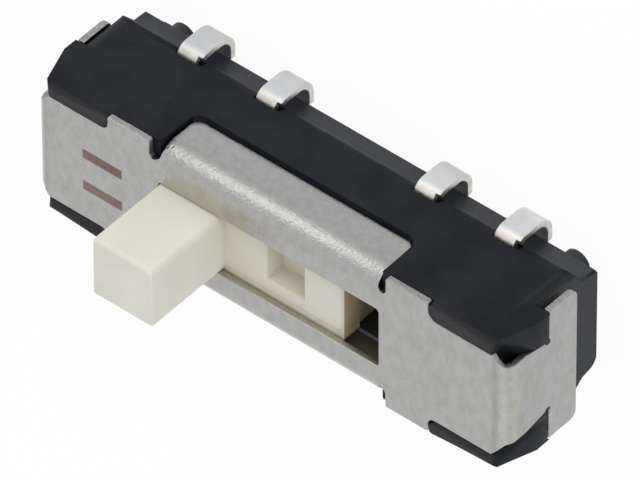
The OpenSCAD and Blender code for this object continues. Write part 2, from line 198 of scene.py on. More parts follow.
# %% Cover: the notch's round end
# The bend starts before the notch ends, so the plate and the bent sheet meet along a short seam. The plate's
# edge is cut into as many parts as the bend has there, and the two rows of vertices are welded.
notch_middle = (FLAP_X + NOTCH_X) / 2
notch_r = notch_middle - FLAP_X
notch_end = corner(sheet, FLAP_X, NOTCH_Y, TOP)
bend_start = corner(sheet, FLAP_X, bend_y, TOP)
plate_face = max(notch_end.link_faces, key=lambda f: f.calc_area())
bmesh.utils.face_split(plate_face, bend_start, corner(sheet, notch_middle, NOTCH_Y, TOP))
seam = next(e for e in notch_end.link_edges if e.other_vert(notch_end) is bend_start)
bmesh.ops.subdivide_edges(sheet, edges=[seam], cuts=2)
on_side = [v for v in sheet.verts if abs(v.co.x / MM - FLAP_X) < TINY]
flat_side = [v for v in on_side if v.co.z / MM > TOP - TINY / 10 and v is not bend_start]
bent_side = [v for v in on_side if v.co.z / MM < TOP - TINY]
flat_side.sort(key=lambda v: v.co.y)
bent_side.sort(key=lambda v: v.co.y)
bmesh.ops.weld_verts(sheet, targetmap=dict(zip(flat_side, bent_side)))
for vert in sheet.verts:
    rise = NOTCH_Y + notch_r - vert.co.y / MM
    if abs(vert.co.x / MM - FLAP_X) < TINY and vert.co.z / MM < TOP - 0.02 and 0 < rise < notch_r:
        vert.co.x = (notch_middle - math.sqrt(notch_r ** 2 - rise ** 2)) * MM
print("notch: radius", round(notch_r, 3), "mm")

# %% Cover: end stem and snap bar
STEM_Y = 1.03  # half the stem's width below the bend
STEM_RUN = 0.27  # how far round the bend the sheet narrows to that width
STEM_LOW = 2.75  # from here the stem tapers
BAR_Y = 1.7
BAR_TOP = 2.05
BAR_LOW = 1.21
UNDERCUT = [(0.915, 2.15), (0.85, 2.13), (0.84, 2.01), (0.95, 2.01), (0.965, BAR_TOP)]
bend_line = edges_where(sheet, lambda c: abs(c.x - bend_x) < TINY)
bend(sheet, bend_line, (bend_x, 0, TOP - END_BEND), (0, 1, 0), 90, BEND_STEPS)
for vert in sheet.verts:
    run = vert.co.x / MM - bend_x
    if run > TINY and abs(vert.co.y / MM - PLATE_Y) < TINY:
        vert.co.y = (PLATE_Y - (PLATE_Y - STEM_Y) * min(run / STEM_RUN, 1)) * MM
stem = [(0, TOP - END_BEND), (STEM_Y, TOP - END_BEND), (STEM_Y, STEM_LOW)] + UNDERCUT
stem += [(BAR_Y, BAR_TOP), (BAR_Y, BAR_LOW), (0, BAR_LOW)]
polygon(sheet, [(END_X, y, z) for y, z in stem], known=2)
round_corner(sheet, (END_X, BAR_Y, BAR_LOW), 0.18, 8)
round_corner(sheet, (END_X, BAR_Y, BAR_TOP), 0.04, 3)
round_corner(sheet, (END_X, *UNDERCUT[2]), 0.05, 5)
round_corner(sheet, (END_X, *UNDERCUT[1]), 0.04, 5)
print("folded quarter:", len(sheet.faces), "faces")

# %% Cover: mirrors, and the small shifts of the real one
LEFT_SHIFT = 0.055  # notch, flap end and shoulder at the first end lie this much further out
EDGE_SHIFT = 0.05  # the plate's edge past the other shoulder lies this much further in
for side in ("X", "Y"):
    bmesh.ops.mirror(sheet, geom=sheet.verts[:] + sheet.edges[:] + sheet.faces[:], axis=side, merge_dist=1e-7)
bmesh.ops.remove_doubles(sheet, verts=sheet.verts[:], dist=1e-7)
for vert in sheet.verts:
    if -4.4 < vert.co.x / MM < -2.4 and abs(vert.co.y / MM) > 1.0:
        vert.co.x -= LEFT_SHIFT * MM
    past = vert.co.x / MM - SHOULDER_X
    out = vert.co.y / MM - STEM_Y
    if past > 0 and 0 < out < 0.6 and vert.co.z / MM > 2.9:
        vert.co.y -= EDGE_SHIFT * min(past / 0.2, 1) * min(out / 0.3, 1) * MM
face_upwards(sheet, lambda f: f.calc_area())
cover = piece("cover_sheet", sheet, "cover")
print("cover:", len(cover.data.polygons), "faces of sheet")


# %% Cover: thickness and soft edges
def give_thickness(made, thick, soften):
    wall = made.modifiers.new("thickness", "SOLIDIFY")
    wall.thickness = thick * MM
    wall.offset = -1
    wall.use_even_offset = True
    wall.use_quality_normals = True
    wall.material_offset_rim = 1
    soft = made.modifiers.new("soft edges", "BEVEL")
    soft.width = soften * MM
    soft.segments = 3
    soft.limit_method = "ANGLE"
    soft.angle_limit = math.radians(40)
    soft.use_clamp_overlap = False
    made.modifiers.new("even shading", "WEIGHTED_NORMAL")


SHEET_T = 0.15
give_thickness(cover, SHEET_T, 0.024)
print("cover modifiers:", [m.name for m in cover.modifiers])

# %% [markdown]
# Each lead is a strip of tinned metal. It lies in the floor as a pad or a rail, leaves the wall through a
# narrow neck, bends down, widens, and curls under the housing so that it can be soldered. The outer face is
# swept from edge to edge with spins and pulls, as the strip is formed, and then it gets its thickness.

# %% Leads: one strip
LEAD_T = 0.15
LEAD_TOP = 1.12  # upper face of the strip inside the housing
LEAD_OUT = 1.85  # outer face of the upright part
LEAD_TAIL = 1.15  # inner end of the soldered tail
WALL_BEND = 0.3
CURL = 0.43
NECK_W = 0.48
LEAD_W = 0.58
WIDE_Z = 1.0  # height at which the neck widens
IN_Y = LEAD_OUT - WALL_BEND
WIDEN_AT = math.degrees(math.asin((WIDE_Z - (LEAD_TOP - WALL_BEND)) / WALL_BEND))


def lead_strip(name, node, x, pad, lane, side):
    left = x - NECK_W / 2
    right = left + NECK_W
    near_y, far_y = lane
    flat = [(left, IN_Y), (left, far_y), (pad[0], far_y), (pad[0], near_y), (pad[1], near_y), (pad[1], far_y),
            (right, far_y), (right, IN_Y)]
    points = list(dict.fromkeys(flat))
    bm = bmesh.new()
    polygon(bm, [(px, py, LEAD_TOP) for px, py in reversed(points)])
    edge = edges_where(bm, lambda c: abs(c.y - IN_Y) < TINY)
    centre = (0, IN_Y, LEAD_TOP - WALL_BEND)
    edge = bend(bm, edge, centre, (1, 0, 0), WIDEN_AT - 90, 6)
    inner = max((v for e in edge for v in e.verts), key=lambda v: v.co.x)
    step = bmesh.ops.extrude_vert_indiv(bm, verts=[inner])
    bmesh.ops.translate(bm, verts=step["verts"], vec=at(LEAD_W - NECK_W, 0, 0))
    edge = bend(bm, edge + step["edges"], centre, (1, 0, 0), -WIDEN_AT, 5)
    edge = pull(bm, edge, (0, 0, CURL - (LEAD_TOP - WALL_BEND)))
    edge = bend(bm, edge, (0, LEAD_OUT - CURL, CURL), (1, 0, 0), -90, 10)
    pull(bm, edge, (0, LEAD_TAIL - (LEAD_OUT - CURL), 0))
    bmesh.ops.scale(bm, vec=(1, side, 1), verts=bm.verts[:])
    face_upwards(bm, lambda f: f.calc_center_median().z)
    made = piece(name, bm, node)
    give_thickness(made, LEAD_T, 0.02)
    return made


print("neck widens after", round(90 - WIDEN_AT), "degrees of the bend")

# %% Leads: three throws and one common on each side
LEAD_X = (-4, -2, 2, 4)
THROW_LANE = (0.52, 0.86)
RAIL_LANE = (0.17, 0.39)
RAIL_END = 4.24
leads = []
for pole, side in (("a", 1), ("b", -1)):
    for k in range(3):
        node = f"throw_lead_{pole}{k + 1}"
        pad = [c[0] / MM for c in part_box(node)]
        leads.append(lead_strip(f"lead_{pole}{k + 1}", node, LEAD_X[k], pad, THROW_LANE, side))
    node = f"common_lead_{pole}"
    rail = (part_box(node)[0][0] / MM, RAIL_END)
    leads.append(lead_strip(f"lead_common_{pole}", node, LEAD_X[3], rail, RAIL_LANE, side))
print("leads:", [made.name for made in leads])

# %% [markdown]
# The housing is a moulding, and its CAD solid already has the right shape. What the solid lacks is the small
# rounding that a mould leaves on every edge, and it is that rounding which catches the light. So the piece
# starts as a copy of its solid: the loose triangles are merged, flat faces are joined, a few edges move with
# the cover and the leads, and the outward edges are bevelled.

# %% Mouldings: a merged copy with rounded edges
def moulded_copy(node):
    bm = bmesh.new()
    bm.from_mesh(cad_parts[node].data)
    bmesh.ops.remove_doubles(bm, verts=bm.verts[:], dist=2e-7)
    bmesh.ops.dissolve_limit(bm, angle_limit=math.radians(0.5), verts=bm.verts[:], edges=bm.edges[:],
                             use_dissolve_boundaries=False)
    return bm


def outward_edges(bm, test, least=30):
    found = []
    for edge in bm.edges:
        if len(edge.link_faces) != 2 or edge.calc_face_angle_signed() < math.radians(least):
            continue
        middle = (edge.verts[0].co + edge.verts[1].co) / (2 * MM)
        if test(middle):
            found.append(edge)
    return found


def round_edges(bm, edges, radius, steps, shortest=0):
    chosen = [e for e in edges if e.calc_length() > shortest * MM]
    bmesh.ops.bevel(bm, geom=chosen, offset=radius * MM, offset_type="OFFSET", segments=steps, profile=0.5,
                    affect="EDGES", material=-1, clamp_overlap=False, loop_slide=True)


def shade_evenly(made):
    made.data.set_sharp_from_angle(angle=math.radians(38))
    even = made.modifiers.new("even shading", "WEIGHTED_NORMAL")
    even.keep_sharp = True


print("moulding helpers ready")

# %% Housing: edges that follow the cover and the leads
EXIT_HALF = 0.3  # half the width of a lead's exit in the solid
EXIT_LEFT = 0.045  # each exit is this much narrower here
EXIT_ROOF = 0.04  # and its roof this much lower
EAR_X = 4.04  # the ear beside the plate starts here
EAR_LONGER = 0.1
EAR_WIDER = 0.03
body = moulded_copy("housing")
for vert in body.verts:
    x, y, z = [c / MM for c in vert.co]
    if -2.9 < x < -2.5 and abs(y) > 1.0 and z > 2.1:
        vert.co.x -= LEFT_SHIFT * MM
    if abs(y) > 1.5 and 0.9 < z < 1.2:
        if any(abs(x - (lead - EXIT_HALF)) < 0.005 for lead in LEAD_X):
            vert.co.x += EXIT_LEFT * MM
        if z > 1.17:
            vert.co.z -= EXIT_ROOF * MM
    if 5.55 < abs(x) < 5.57 and z > 3.37:
        vert.co.x += math.copysign(EAR_LONGER * MM, x)
    if x > EAR_X and 1.3 < y < 1.61 and z > 3.15:
        vert.co.y -= EAR_WIDER * min((x - EAR_X) / 0.2, 1) * MM
print("housing copy:", len(body.faces), "faces")

# %% Housing: roundings
# The lower edges are cut just past the feet, so that their rounding ends there. Edges that are shorter than a
# rounding needs stay sharp.
PAST_FEET = 5.32
SHORTEST = 0.25
for x in (-PAST_FEET, PAST_FEET):
    cut_across(body, (x, 0, 0), (1, 0, 0))
for side, radius in ((1, 0.04), (-1, 0.2)):
    low = outward_edges(body, lambda c: abs(c.x) > PAST_FEET and side * c.y > 1.2 and 0.19 < c.z < 0.21)
    round_edges(body, low, radius, 6)
ear_starts = outward_edges(body, lambda c: 3.2 < c.z < 3.36 and 3.9 < abs(c.x) < 4.2 and abs(c.y) > 1.7, 60)
round_edges(body, ear_starts, 0.09, 5)
ear_tops = outward_edges(body, lambda c: c.z > 3.37 and 5.45 < abs(c.x) < 5.8 and abs(c.y) > 1.4, 60)
ear_tops += outward_edges(body, lambda c: c.z > 3.37 and 4.3 < abs(c.x) < 5.4 and abs(c.y) > 1.7, 60)
round_edges(body, ear_tops, 0.14, 6, SHORTEST)
slope_edges = outward_edges(body, lambda c: abs(c.y) > 1.7 and 0.995 < c.z < 1.005)
round_edges(body, slope_edges, 0.13, 6, SHORTEST)
end_edges = outward_edges(body, lambda c: abs(c.x) > 5.61 and 0.3 < c.z < 0.85)
round_edges(body, end_edges, 0.08, 4, SHORTEST)
long_edges = outward_edges(body, lambda c: abs(c.y) > 1.7 and 1.05 < c.z < 3.2)
round_edges(body, long_edges, 0.035, 3, SHORTEST)
hook_ends = outward_edges(body, lambda c: abs(c.x) > 5.97)
round_edges(body, hook_ends, 0.06, 4, SHORTEST)
bmesh.ops.dissolve_degenerate(body, dist=0.0005 * MM, edges=body.edges[:])
housing = piece("housing_moulding", body, "housing")
shade_evenly(housing)
print("housing:", len(housing.data.polygons), "faces")

# %% [markdown]
# The slider is drawn again above its running ledge, because the solid gives it only one width there. The real
# one has a narrower top between the slot's edges, with two core pockets, and a flange that runs under the
# cover. Its lower part is a copy of the solid. The knob keeps nearly sharp edges, apart from the upright one
# that faces the camera.

# %% Slider: carriage top with its pockets
REST_X = -2.0  # middle of the slider at rest
BLOCK_X = 3.735
BLOCK_Y = 0.69
BLOCK_TOP = 3.2
BLOCK_LOW = 2.54
POCKET_X = (1.81, 2.74)
POCKET_Y = (-0.385, 0.5)
POCKET_DEEP = 0.5


def in_pocket(face):
    middle = face.calc_center_median() / MM
    return POCKET_X[0] < abs(middle.x - REST_X) < POCKET_X[1] and POCKET_Y[0] < middle.y < POCKET_Y[1]


block = bmesh.new()
spot = Matrix.LocRotScale(at(REST_X, 0, BLOCK_TOP), None, (BLOCK_X * MM, BLOCK_Y * MM, 1))
bmesh.ops.create_grid(block, x_segments=1, y_segments=1, size=1, matrix=spot)
for x in POCKET_X:
    cut_across(block, (REST_X - x, 0, 0), (1, 0, 0))
    cut_across(block, (REST_X + x, 0, 0), (1, 0, 0))
for y in POCKET_Y:
    cut_across(block, (0, y, 0), (0, 1, 0))
floors = [f for f in block.faces if in_pocket(f)]
for sunk in bmesh.ops.extrude_discrete_faces(block, faces=floors)["faces"]:
    bmesh.ops.translate(block, verts=sunk.verts[:], vec=at(0, 0, -POCKET_DEEP))
pull(block, open_edges(block), (0, 0, BLOCK_LOW - BLOCK_TOP))
bmesh.ops.holes_fill(block, edges=open_edges(block), sides=0)
bmesh.ops.recalc_face_normals(block, faces=block.faces[:])
print("carriage top:", len(block.faces), "faces before rounding")


# %% Slider: roundings of the carriage top
def on_rim(c):
    return c.z > BLOCK_TOP - 0.01 and (abs(c.y) > 0.6 or abs(c.x - REST_X) > 3.4)


def on_pocket_edge(c):
    return c.z > BLOCK_TOP - 0.01 and abs(c.y) < 0.52 and abs(c.x - REST_X) < 2.8


far_corners = outward_edges(block, lambda c: 2.6 < c.z < 3.0 and c.y < 0.01 - BLOCK_Y)
round_edges(block, far_corners, 0.2, 6)
near_corners = outward_edges(block, lambda c: 2.6 < c.z < 3.0 and c.y > BLOCK_Y - 0.01)
round_edges(block, near_corners, 0.15, 6)
round_edges(block, outward_edges(block, on_rim), 0.075, 5)
round_edges(block, outward_edges(block, on_pocket_edge), 0.07, 5)
print("carriage top:", len(block.faces), "faces")

# %% Slider: flange, knob and the part below
FLANGE_X = 3.755
FLANGE_Y = 0.93
FLANGE_TOP = 3.175
FLANGE_LOW = 2.7
KNOB_SIZE = (1.5, 1.46, 2.46)
KNOB_MIDDLE = 4.13


def rounded_bar(bm, low, high, radius, steps):
    low, high = at(*low), at(*high)
    spot = Matrix.LocRotScale((low + high) / 2, None, high - low)
    corners = bmesh.ops.create_cube(bm, size=1, matrix=spot)["verts"]
    upright = [e for e in bm.edges if e.verts[0] in corners and e.verts[0].co.xy == e.verts[1].co.xy]
    round_edges(bm, upright, radius, steps)


flange = bmesh.new()
for y0, y1 in ((-FLANGE_Y, -0.6), (0.6, FLANGE_Y)):
    rounded_bar(flange, (REST_X - FLANGE_X, y0, FLANGE_LOW), (REST_X + FLANGE_X, y1, FLANGE_TOP), 0.14, 6)
for x0, x1 in ((-FLANGE_X, -2.9), (2.9, FLANGE_X)):
    rounded_bar(flange, (REST_X + x0, -0.7, FLANGE_LOW), (REST_X + x1, 0.7, FLANGE_TOP - 0.002), 0.04, 3)
knob = bmesh.new()
spot = Matrix.LocRotScale(at(REST_X, 0, KNOB_MIDDLE), None, at(*KNOB_SIZE))
bmesh.ops.create_cube(knob, size=1, matrix=spot)
keel = moulded_copy("slider")
cut_across(keel, (0, 0, BLOCK_LOW + 0.01), (0, 0, 1), clear_outer=True)
bmesh.ops.holes_fill(keel, edges=open_edges(keel), sides=0)
print("flange:", len(flange.faces), "faces, keel:", len(keel.faces), "faces")

# %% Slider: one piece, with the knob's edges softened by weight
KNOB_R = 0.14
carriage = bmesh.new()
for part in (keel, flange, block, knob):
    bmesh.ops.recalc_face_normals(part, faces=part.faces[:])
    part_mesh = bpy.data.meshes.new("slider_part")
    part.to_mesh(part_mesh)
    part.free()
    carriage.from_mesh(part_mesh)
    bpy.data.meshes.remove(part_mesh)
weights = carriage.edges.layers.float.new("bevel_weight_edge")  # each is a share of KNOB_R
for edge in carriage.edges:
    middle = (edge.verts[0].co + edge.verts[1].co) / (2 * MM) - Vector((REST_X, 0, 0))
    if middle.z > 5.3:
        edge[weights] = 0.75 if middle.y > 0.7 else 0.2
    elif edge.calc_length() > 2.4 * MM and abs(middle.z - KNOB_MIDDLE) < 0.01:
        edge[weights] = 1.0 if middle.x > 0 and middle.y > 0 else 0.3
slider = piece("slider_moulding", carriage, "slider", "slide")
knob_soft = slider.modifiers.new("knob edges", "BEVEL")
knob_soft.width = KNOB_R * MM
knob_soft.segments = 6
knob_soft.limit_method = "WEIGHT"
knob_soft.use_clamp_overlap = False
shade_evenly(slider)
print("slider:", len(slider.data.polygons), "faces")

# %% [markdown]
# Finishes. Patterns read Object coordinates, scaled so that one unit is a millimetre. One node group gives
# every material its fine detail: a small grain for bumps, and a slow mottle for tone and gloss. Each finish
# places the group with its own scales. A tone that belongs to one place, such as a cut edge or a printed bar,
# comes from a mask over the same coordinates.

# %% Shared surface detail group
def surface_group():
    group = bpy.data.node_groups.new("surface_detail", "ShaderNodeTree")
    for title, value in (("Grain Scale", 20.0), ("Mottle Scale", 2.0)):
        socket = group.interface.new_socket(title, in_out="INPUT", socket_type="NodeSocketFloat")
        socket.default_value = value
    group.interface.new_socket("Vector", in_out="INPUT", socket_type="NodeSocketVector")
    for title in ("Grain", "Mottle"):
        group.interface.new_socket(title, in_out="OUTPUT", socket_type="NodeSocketFloat")
    given = group.nodes.new("NodeGroupInput")
    result = group.nodes.new("NodeGroupOutput")
    grain = group.nodes.new("ShaderNodeTexNoise")
    grain.inputs["Detail"].default_value = 3
    grain.inputs["Roughness"].default_value = 0.6
    mottle = group.nodes.new("ShaderNodeTexNoise")
    mottle.inputs["Detail"].default_value = 4
    for node, title in ((grain, "Grain"), (mottle, "Mottle")):
        group.links.new(given.outputs["Vector"], node.inputs["Vector"])
        group.links.new(given.outputs[f"{title} Scale"], node.inputs["Scale"])
        group.links.new(node.outputs["Fac"], result.inputs[title])
    return group


DETAIL = surface_group()
print("group:", DETAIL.name)


# %% A start for every finish
def finish(name, grain, mottle, stretch=(1, 1, 1)):
    mat = bpy.data.materials.new(name)
    mat.use_nodes = True
    tree = mat.node_tree
    coords = tree.nodes.new("ShaderNodeTexCoord")
    scale = tree.nodes.new("ShaderNodeMapping")
    scale.inputs["Scale"].default_value = [s / MM for s in stretch]
    tree.links.new(coords.outputs["Object"], scale.inputs["Vector"])
    detail = tree.nodes.new("ShaderNodeGroup")
    detail.node_tree = DETAIL
    detail.inputs["Grain Scale"].default_value = grain
    detail.inputs["Mottle Scale"].default_value = mottle
    tree.links.new(scale.outputs["Vector"], detail.inputs["Vector"])
    return mat, tree, tree.nodes["Principled BSDF"], detail.outputs, scale.outputs["Vector"]


def ramp(tree, source, low, high, start=0.3, end=0.7):
    tone = tree.nodes.new("ShaderNodeValToRGB")
    tone.color_ramp.elements[0].position = start
    tone.color_ramp.elements[1].position = end
    tone.color_ramp.elements[0].color = (*low, 1)
    tone.color_ramp.elements[1].color = (*high, 1)
    tree.links.new(source, tone.inputs["Fac"])
    return tone


def spread(tree, source, low, high, start=0.3, end=0.7):
    span = tree.nodes.new("ShaderNodeMapRange")
    for title, value in (("From Min", start), ("From Max", end), ("To Min", low), ("To Max", high)):
        span.inputs[title].default_value = value
    tree.links.new(source, span.inputs["Value"])
    return span.outputs["Result"]


def bump(tree, source, shader, strength, height):
    relief = tree.nodes.new("ShaderNodeBump")
    relief.inputs["Strength"].default_value = strength
    relief.inputs["Distance"].default_value = height * MM
    tree.links.new(source, relief.inputs["Height"])
    tree.links.new(relief.outputs["Normal"], shader.inputs["Normal"])


print("finish helpers ready")


# %% Masks from places
def axes(tree, place):
    parts = tree.nodes.new("ShaderNodeSeparateXYZ")
    tree.links.new(place, parts.inputs["Vector"])
    return parts.outputs


def fill_sockets(tree, sockets, values):
    for socket, value in zip(sockets, values):
        if isinstance(value, (int, float, tuple)):
            socket.default_value = value
        else:
            tree.links.new(value, socket)


def math_node(tree, kind, first, second):
    made = tree.nodes.new("ShaderNodeMath")
    made.operation = kind
    fill_sockets(tree, made.inputs, (first, second))
    return made.outputs["Value"]


def times(tree, first, second):
    return math_node(tree, "MULTIPLY", first, second)


def far_from(tree, source, centre):
    off = math_node(tree, "SUBTRACT", source, centre)
    return math_node(tree, "ABSOLUTE", off, 0)


def band(tree, source, centre, half, soft):
    return spread(tree, far_from(tree, source, centre), 1, 0, half - soft, half + soft)


def blend_colours(tree, kind, factor, first, second):
    made = tree.nodes.new("ShaderNodeMix")
    made.data_type = "RGBA"
    made.blend_type = kind
    fill_sockets(tree, (made.inputs[0], made.inputs[6], made.inputs[7]), (factor, first, second))
    return made.outputs[2]


print("mask helpers ready")

# %% [markdown]
# The housing is black glass-filled plastic: almost no colour of its own, and a satin skin that turns grey
# where it is seen at a low angle. Its ends and the bands below its long walls get painted light, a slightly
# lighter tone, and the walls inside the slot get painted light too: a warm painted reflection of the slider
# on their upper part and a painted highlight along the ledge. The ivory slider gets a little painted shade
# below its top, a brighter, yellower painted glow on its flange sides for light that passes through the
# plastic, and a painted warm shade on its ends.

# %% Black plastic
black, tree, shader, detail, place = finish("black_moulding", 26, 1.3)
x, y, z = axes(tree, place)
along = far_from(tree, x, 0)
across = far_from(tree, y, 0)
skin = ramp(tree, detail["Mottle"], (0.0015, 0.0018, 0.003), (0.0105, 0.0108, 0.0125)).outputs["Color"]
# Painted light: a lighter tone on the bands below the slopes and on the end faces
slope_painted_light = times(tree, spread(tree, z, 1, 0, 0.72, 0.88), spread(tree, across, 0, 1, 1.05, 1.1))
skin = blend_colours(tree, "MIX", slope_painted_light, skin, (0.04, 0.0405, 0.044, 1))
end = times(tree, spread(tree, along, 0, 1, 5.5, 5.62), spread(tree, z, 1, 0, 2.0, 2.1))
skin = blend_colours(tree, "MIX", end, skin, (0.0235, 0.0235, 0.025, 1))
# The ears beside the plate
skin = blend_colours(tree, "MIX", spread(tree, z, 0, 1, 3.3, 3.37), skin, (0.027, 0.024, 0.021, 1))
# Painted light in the channel: lighter walls, a warm painted reflection of the slider on their upper
# part, and a painted highlight along the ledge
channel_painted_light = times(tree, spread(tree, across, 1, 0, 1.0, 1.06), spread(tree, z, 0, 1, 1.1, 1.2))
skin = blend_colours(tree, "MIX", channel_painted_light, skin, (0.05, 0.045, 0.036, 1))
upper_painted_reflection = times(tree, channel_painted_light, spread(tree, z, 0, 1, 2.66, 2.7))
skin = blend_colours(tree, "MIX", upper_painted_reflection, skin, (0.095, 0.078, 0.048, 1))
ledge_painted_highlight = times(tree, channel_painted_light, band(tree, z, 2.65, 0.006, 0.003))
skin = blend_colours(tree, "MIX", ledge_painted_highlight, skin, (0.34, 0.33, 0.33, 1))
tree.links.new(skin, shader.inputs["Base Color"])
# The rounded edge above the slope is duller, so that it draws no bright line
edge = times(tree, band(tree, z, 0.93, 0.16, 0.03), spread(tree, across, 0, 1, 1.5, 1.6))
rough = math_node(tree, "ADD", spread(tree, detail["Grain"], 0.42, 0.6), times(tree, edge, 0.2))
tree.links.new(rough, shader.inputs["Roughness"])
shader.inputs["Specular IOR Level"].default_value = 0.21
shader.inputs["Specular Tint"].default_value = (0.86, 0.92, 1, 1)
bump(tree, detail["Grain"], shader, 0.5, 0.01)
print("housing finish:", black.name)

# %% Ivory plastic
ivory, tree, shader, detail, place = finish("ivory_moulding", 14, 0.8)
x, y, z = axes(tree, place)
tone = ramp(tree, detail["Mottle"], (0.725, 0.685, 0.545), (0.785, 0.745, 0.615)).outputs["Color"]
# Painted shade: the carriage, below the knob, is a little darker
low_painted_shade = spread(tree, z, 1, 0, 3.2, 3.3)
tone = blend_colours(tree, "MULTIPLY", low_painted_shade, tone, (0.93, 0.925, 0.9, 1))
below = spread(tree, z, 1, 0, 3.15, 3.19)
# Painted light: the flange sides get a brighter, yellower tone, for light passing through the plastic
sides = times(tree, below, spread(tree, far_from(tree, y, 0), 0, 1, 0.6, 0.68))
tone = blend_colours(tree, "MIX", sides, tone, (0.98, 0.91, 0.64, 1))
# Painted warm shade on the slider's ends
ends_painted_shade = times(tree, below, spread(tree, far_from(tree, x, REST_X), 0, 1, 3.4, 3.7))
tone = blend_colours(tree, "MIX", ends_painted_shade, tone, (0.58, 0.46, 0.26, 1))
tree.links.new(tone, shader.inputs["Base Color"])
tree.links.new(spread(tree, detail["Grain"], 0.48, 0.6), shader.inputs["Roughness"])
shader.inputs["Specular IOR Level"].default_value = 0.3
bump(tree, detail["Grain"], shader, 0.15, 0.004)
print("slider finish:", ivory.name)

# %% [markdown]
# Two metals show outside, each with its cut edges. The cover is plated steel. On its flat faces the grain
# hardly shows, but on the bends it breaks the bright line into sparkles, so the grain goes into the bump and
# only faintly into the colour. The plate has warm stains and two plain ink bars mark the first end. The sides
# get a darker painted reflection, the end bends a band of painted shade, the slot's cut edges a painted
# reflection of the slider, and the notches painted shade. The leads are tinned, with a painted highlight on
# their necks and painted light that grows along the row, and the strip's own metal shows at their cut sides.

# %% Plated steel: tone, stains, painted reflection and shade
plated, tree, shader, detail, place = finish("plated_steel", 15, 0.9)
x, y, z = axes(tree, place)
# Painted reflection: the sides are darker than the plate, darkest just under the bends, and the plate warmer
height = spread(tree, z, 0, 1, 2.1, 3.4)
sides = ramp(tree, height, (0.392, 0.394, 0.394), (0.54, 0.522, 0.475), 0, 1)
sides.color_ramp.elements.new(0.6).color = (0.368, 0.372, 0.374, 1)
streak = tree.nodes.new("ShaderNodeMapping")
streak.inputs["Scale"].default_value = (6, 3, 6)
tree.links.new(place, streak.inputs["Vector"])
cloud = tree.nodes.new("ShaderNodeTexNoise")
cloud.inputs["Scale"].default_value = 1.0
cloud.inputs["Detail"].default_value = 6
cloud.inputs["Roughness"].default_value = 0.65
tree.links.new(streak.outputs["Vector"], cloud.inputs["Vector"])
stain = ramp(tree, cloud.outputs["Fac"], (0.91, 0.89, 0.84), (1.03, 1.03, 1.03), 0.33, 0.6).outputs["Color"]
metal = blend_colours(tree, "MULTIPLY", 1.0, sides.outputs["Color"], stain)
fine = ramp(tree, detail["Grain"], (0.97, 0.97, 0.97), (1.03, 1.03, 1.03)).outputs["Color"]
metal = blend_colours(tree, "MULTIPLY", 1.0, metal, fine)
# Painted shade: a darker band across the start of each end bend
bend_painted_shade = times(tree, band(tree, far_from(tree, x, 0), 5.68, 0.05, 0.05), 0.5)
metal = blend_colours(tree, "MULTIPLY", bend_painted_shade, metal, (0.72, 0.68, 0.62, 1))
print("cover finish:", plated.name)

# %% Plated steel: ink bars, gloss and grain
bars = times(tree, band(tree, x, -4.21, 0.5, 0.012), band(tree, far_from(tree, y, -0.05), 0.42, 0.12, 0.012))
bars = times(tree, bars, spread(tree, z, 0, 1, 3.3, 3.34))
bars = times(tree, bars, spread(tree, detail["Mottle"], 0.82, 1))
metal = blend_colours(tree, "MIX", bars, metal, (0.17, 0.085, 0.055, 1))
tree.links.new(metal, shader.inputs["Base Color"])
tree.links.new(math_node(tree, "SUBTRACT", 1, bars), shader.inputs["Metallic"])
tree.links.new(spread(tree, detail["Mottle"], 0.26, 0.33), shader.inputs["Roughness"])
relief = times(tree, detail["Grain"], spread(tree, z, 0.3, 1, 2.75, 3.05))
bump(tree, relief, shader, 0.8, 0.02)
print("cover finish nodes:", len(tree.nodes))

# %% Cut steel edges
cut_steel, tree, shader, detail, place = finish("cut_steel_edge", 22, 3.0)
shader.inputs["Metallic"].default_value = 1
x, y, z = axes(tree, place)
across = far_from(tree, y, 0)
dull = ramp(tree, detail["Grain"], (0.24, 0.235, 0.225), (0.46, 0.455, 0.44)).outputs["Color"]
# Painted reflection of the ivory slider: the slot's cut edges get a warmer, brighter tone
ivory_painted_reflection = ramp(tree, detail["Grain"], (0.42, 0.39, 0.31), (0.56, 0.53, 0.45)).outputs["Color"]
slot_edge = spread(tree, across, 1, 0, 0.78, 0.84)
bare = blend_colours(tree, "MIX", slot_edge, dull, ivory_painted_reflection)
# Painted shade inside the notches beside the flaps
notch_painted_shade = band(tree, far_from(tree, x, 0), 2.84, 0.13, 0.03)
notch_painted_shade = times(tree, notch_painted_shade, spread(tree, across, 0, 1, 1.26, 1.29))
bare = blend_colours(tree, "MIX", notch_painted_shade, bare, (0.03, 0.03, 0.03, 1))
tree.links.new(bare, shader.inputs["Base Color"])
tree.links.new(spread(tree, detail["Mottle"], 0.42, 0.6), shader.inputs["Roughness"])
bump(tree, detail["Grain"], shader, 0.4, 0.01)
print("cover edge finish:", cut_steel.name)

# %% Tinned leads and their cut sides
tin, tree, shader, detail, place = finish("bright_tin", 12, 2.2)
shader.inputs["Metallic"].default_value = 1
x, y, z = axes(tree, place)
coat = ramp(tree, detail["Mottle"], (0.6, 0.61, 0.62), (0.67, 0.675, 0.68)).outputs["Color"]
# Painted highlight: a warm, lighter tone on the necks' bends
neck_painted_highlight = ramp(tree, detail["Grain"], (0.66, 0.62, 0.53), (0.84, 0.81, 0.73)).outputs["Color"]
neck = spread(tree, z, 0, 1, 0.88, 1.0)
coat = blend_colours(tree, "MIX", neck, coat, neck_painted_highlight)
# Painted light: the leads grow lighter along the row towards +x
row = spread(tree, x, 0, 1, LEAD_X[0], LEAD_X[3])
row_painted_light = ramp(tree, row, (0.96, 0.96, 0.96), (1.16, 1.15, 1.13), 0, 1).outputs["Color"]
tree.links.new(blend_colours(tree, "MULTIPLY", 1.0, coat, row_painted_light), shader.inputs["Base Color"])
tree.links.new(spread(tree, detail["Grain"], 0.46, 0.58), shader.inputs["Roughness"])
bump(tree, detail["Grain"], shader, 0.15, 0.006)


